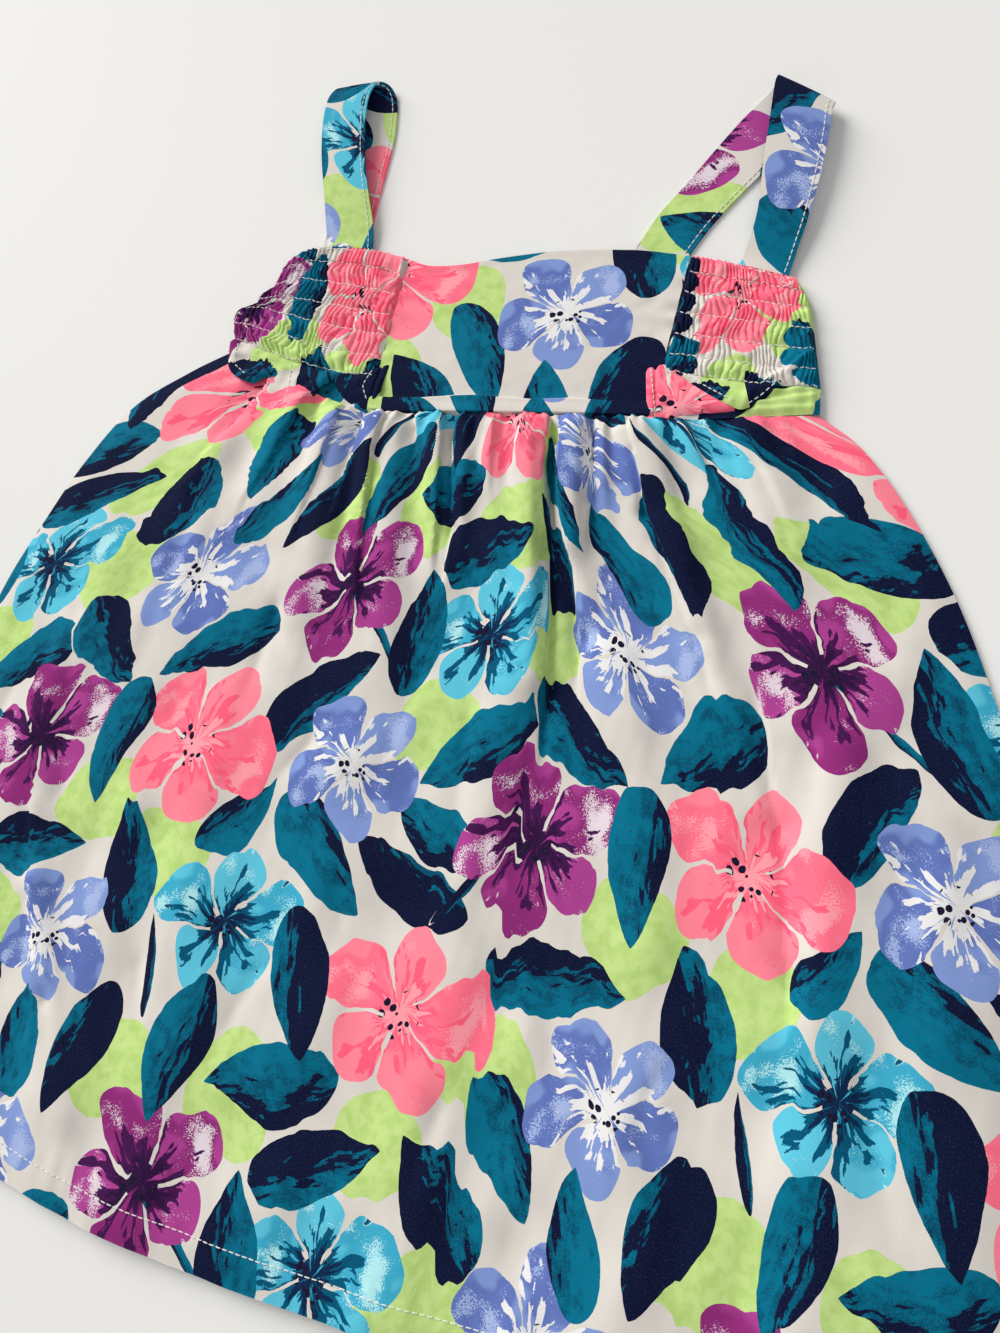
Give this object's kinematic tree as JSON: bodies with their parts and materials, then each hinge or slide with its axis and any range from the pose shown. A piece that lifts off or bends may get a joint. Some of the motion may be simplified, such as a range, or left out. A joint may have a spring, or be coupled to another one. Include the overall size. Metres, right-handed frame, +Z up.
{
  "type": "toddler sundress",
  "caption": "Sleeveless toddler sundress laid flat, front up, with a smooth middle bodice panel, elastic side panels, folded shoulder straps and a gathered flared skirt.",
  "frame": {"origin": "middle of the laid dress at the level of the surface it lies on", "axes": "+X across the dress to the left-hand side of the wearer, which is the right of the picture; +Y from the hem to the straps; +Z up from the surface, out of the dress front"},
  "size_m": [0.468, 0.511, 0.0106],
  "materials": {
    "printed_cotton": "matt plain-weave cotton printed all over with flowers and leaves",
    "sewing_thread": "matt white thread"
  },
  "bodies": {
    "root": {"skirt_back": "printed_cotton", "skirt_front": "printed_cotton", "bodice_back": "printed_cotton", "bodice_front": "printed_cotton", "bodice_side_left": "printed_cotton", "waist_band_left": "printed_cotton", "waist_tuck_left": "printed_cotton", "waist_point_left": "printed_cotton", "strap_left": "printed_cotton", "bodice_side_right": "printed_cotton", "waist_band_right": "printed_cotton", "waist_tuck_right": "printed_cotton", "waist_point_right": "printed_cotton", "strap_right": "printed_cotton"}
  },
  "joints": []
}
